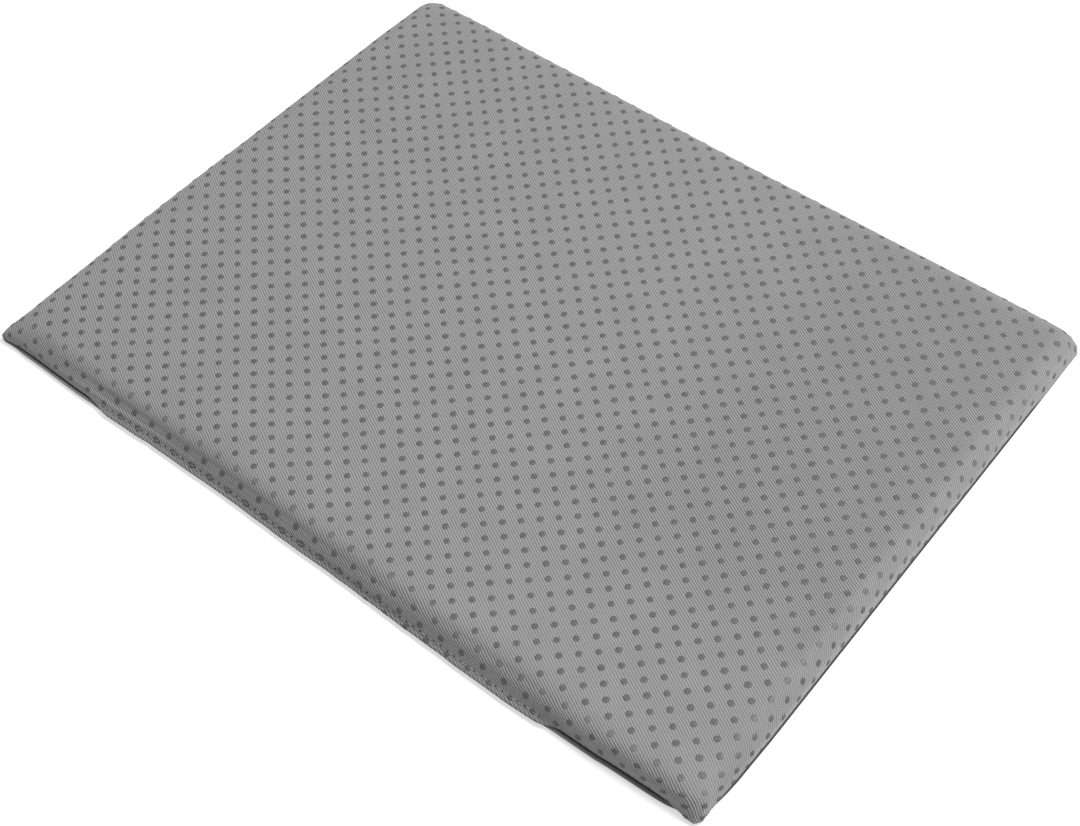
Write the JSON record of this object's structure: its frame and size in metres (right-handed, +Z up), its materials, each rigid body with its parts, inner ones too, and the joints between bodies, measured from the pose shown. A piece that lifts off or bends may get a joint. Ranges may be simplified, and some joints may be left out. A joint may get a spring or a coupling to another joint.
{
  "type": "laptop cooling pad",
  "caption": "Soft fanless laptop cooling pad: a sewn twill cover with raised grip dots around a flat mat of heat-absorbing crystal cells, laid under a laptop to draw heat away.",
  "frame": {"origin": "centre of the flat underside, on the surface the pad lies on", "axes": "+X along the long side, +Y from the long side with the closing topstitch towards the opposite long side, +Z up through the face with the grip dots"},
  "size_m": [0.36, 0.28, 0.013],
  "materials": {
    "cover_twill": "matte twill weave, mid grey",
    "base_fabric": "matte plain fabric, dark grey",
    "grip_silicone": "satin printed silicone, dark grey",
    "thread": "twisted polyester thread, grey",
    "mat_film": "gloss laminated film",
    "crystals": "packed salt-hydrate crystals, matte white",
    "foam": "closed-cell foam, matte light grey",
    "wadding": "needled polyester wadding, off white"
  },
  "bodies": {
    "root": {"top_cover": "cover_twill", "bottom_cover": "base_fabric", "grip_dots": "grip_silicone", "seam_thread": "thread", "closing_topstitch": "thread", "wadding_sheet": "wadding", "foam_backing": "foam", "crystal_mat_upper_film": "mat_film", "crystal_mat_lower_film": "mat_film", "crystal_fill_row1_col1": "crystals", "crystal_fill_row1_col2": "crystals", "crystal_fill_row1_col3": "crystals", "crystal_fill_row1_col4": "crystals", "crystal_fill_row2_col1": "crystals", "crystal_fill_row2_col2": "crystals", "crystal_fill_row2_col3": "crystals", "crystal_fill_row2_col4": "crystals", "crystal_fill_row3_col1": "crystals", "crystal_fill_row3_col2": "crystals", "crystal_fill_row3_col3": "crystals", "crystal_fill_row3_col4": "crystals"}
  },
  "joints": []
}
